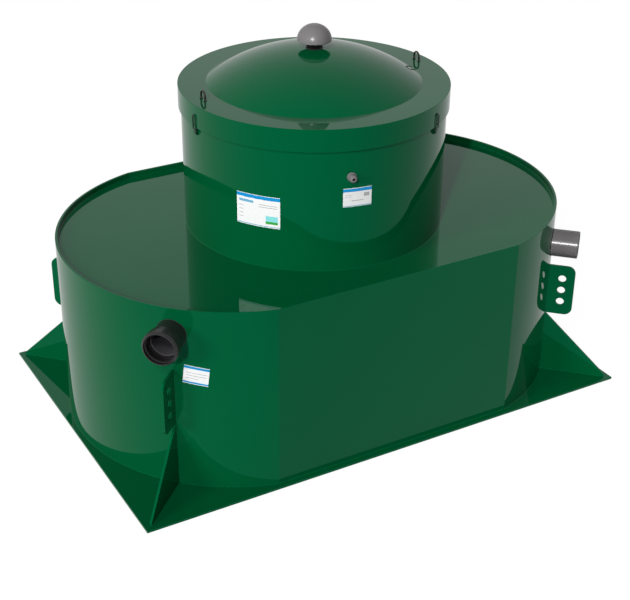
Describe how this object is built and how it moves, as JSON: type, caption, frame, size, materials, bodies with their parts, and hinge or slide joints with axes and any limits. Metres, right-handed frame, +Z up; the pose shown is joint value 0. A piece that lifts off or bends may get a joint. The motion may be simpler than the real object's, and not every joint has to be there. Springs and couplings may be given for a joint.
{
  "type": "biological sewage treatment unit",
  "caption": "Oval plastic sewage treatment tank on a base plate with corner gussets, a round neck, a domed lift-off lid with vent cap, an inlet socket and an outlet pipe.",
  "frame": {"origin": "centre of the base plate's underside", "axes": "+Z up, +X along the tank's long axis, -Y towards the side with the labels and both pipes"},
  "size_m": [2.106, 1.38, 1.4905],
  "materials": {
    "green_plastic": "glossy welded polypropylene sheet, mid green",
    "dark_green_plastic": "dark green moulded plastic",
    "black_plastic": "black moulded pipe plastic",
    "pipe_grey_plastic": "grey sewer pipe plastic, semi-gloss",
    "cap_grey_plastic": "light grey moulded plastic",
    "label_white": "blank white printed film with a blue band",
    "steel_wire": "dull dark round steel wire"
  },
  "bodies": {
    "root": {"base_plate": "green_plastic", "cable_gland_flange": "cap_grey_plastic", "cable_gland_nut": "cap_grey_plastic", "gusset_back_left": "green_plastic", "gusset_back_right": "green_plastic", "gusset_front_left": "green_plastic", "gusset_front_right": "green_plastic", "inlet_pipe": "black_plastic", "inlet_socket": "black_plastic", "label_inlet": "label_white", "label_large": "label_white", "label_small": "label_white", "latch_bail_1": "dark_green_plastic", "latch_bail_2": "dark_green_plastic", "latch_bail_3": "dark_green_plastic", "latch_block_1": "dark_green_plastic", "latch_block_2": "dark_green_plastic", "latch_block_3": "dark_green_plastic", "lid_dome": "green_plastic", "lid_ring": "green_plastic", "lid_skirt": "green_plastic", "lifting_eye_left": "steel_wire", "lifting_eye_right": "steel_wire", "lug_back_left": "green_plastic", "lug_back_right": "green_plastic", "lug_front_left": "green_plastic", "lug_front_right": "green_plastic", "neck_wall": "green_plastic", "outlet_pipe": "pipe_grey_plastic", "tank_back_wall": "green_plastic", "tank_deck": "green_plastic", "tank_front_wall": "green_plastic", "tank_left_end": "green_plastic", "tank_right_end": "green_plastic", "vent_cap": "cap_grey_plastic", "vent_stem": "black_plastic"}
  },
  "joints": []
}
